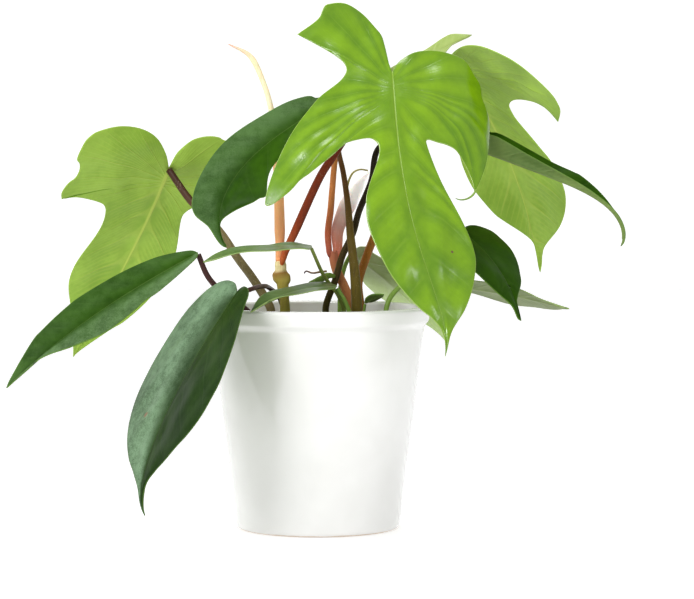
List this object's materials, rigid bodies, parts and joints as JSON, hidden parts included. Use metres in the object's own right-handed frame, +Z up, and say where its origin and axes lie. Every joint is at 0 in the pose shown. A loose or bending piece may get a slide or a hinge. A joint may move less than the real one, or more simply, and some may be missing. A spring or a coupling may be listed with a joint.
{
  "type": "potted florida green philodendron",
  "caption": "Philodendron house plant with lobed glossy leaves on long petioles, rooted in soil in a plain white round pot.",
  "frame": {"origin": "centre of the pot's underside, where it rests", "axes": "+Z up, -Y towards the front of the plant, +X to the right"},
  "size_m": [0.3324, 0.2196, 0.2876],
  "materials": {
    "pot_glaze": "gloss",
    "potting_soil": "rough",
    "leaf_fresh": "glossy",
    "leaf_pale": "satin",
    "leaf_new": "satin",
    "leaf_dark": "glossy",
    "leaf_grey": "satin",
    "stalk_red": "satin",
    "stalk_orange": "satin",
    "stalk_olive": "satin",
    "stalk_dark": "satin",
    "stalk_green": "satin",
    "sheath_pink": "satin",
    "tendril_brown": "matte"
  },
  "bodies": {
    "root": {"pot": "pot_glaze", "soil": "potting_soil", "leaf_front": "leaf_fresh", "leaf_young": "leaf_new", "leaf_back_right": "leaf_pale", "leaf_right": "leaf_dark", "leaf_back_left": "leaf_pale", "leaf_left_middle": "leaf_dark", "leaf_left": "leaf_dark", "leaf_front_left": "leaf_dark", "leaf_low_right": "leaf_dark", "leaf_sliver_right": "leaf_grey", "leaf_behind_right": "leaf_grey", "leaf_sliver_left": "leaf_dark", "leaf_sliver_front": "leaf_dark", "leaf_small": "leaf_dark", "stem_left": "stalk_olive", "stem_right": "stalk_orange", "new_leaf_roll": "stalk_orange", "sheath": "sheath_pink", "filament": "stalk_green", "bud": "stalk_green", "tendril": "tendril_brown", "petiole_front": "stalk_red", "petiole_young": "stalk_orange", "petiole_left_middle": "stalk_olive", "petiole_right": "stalk_dark", "petiole_back_right": "stalk_red", "petiole_back_left": "stalk_olive", "petiole_left": "stalk_dark", "petiole_front_left": "stalk_dark", "petiole_sliver_left": "stalk_green", "petiole_sliver_front": "stalk_green", "petiole_sliver_right": "stalk_green", "petiole_low_right": "stalk_green", "petiole_behind_right": "stalk_green", "petiole_small": "stalk_green"}
  },
  "joints": []
}
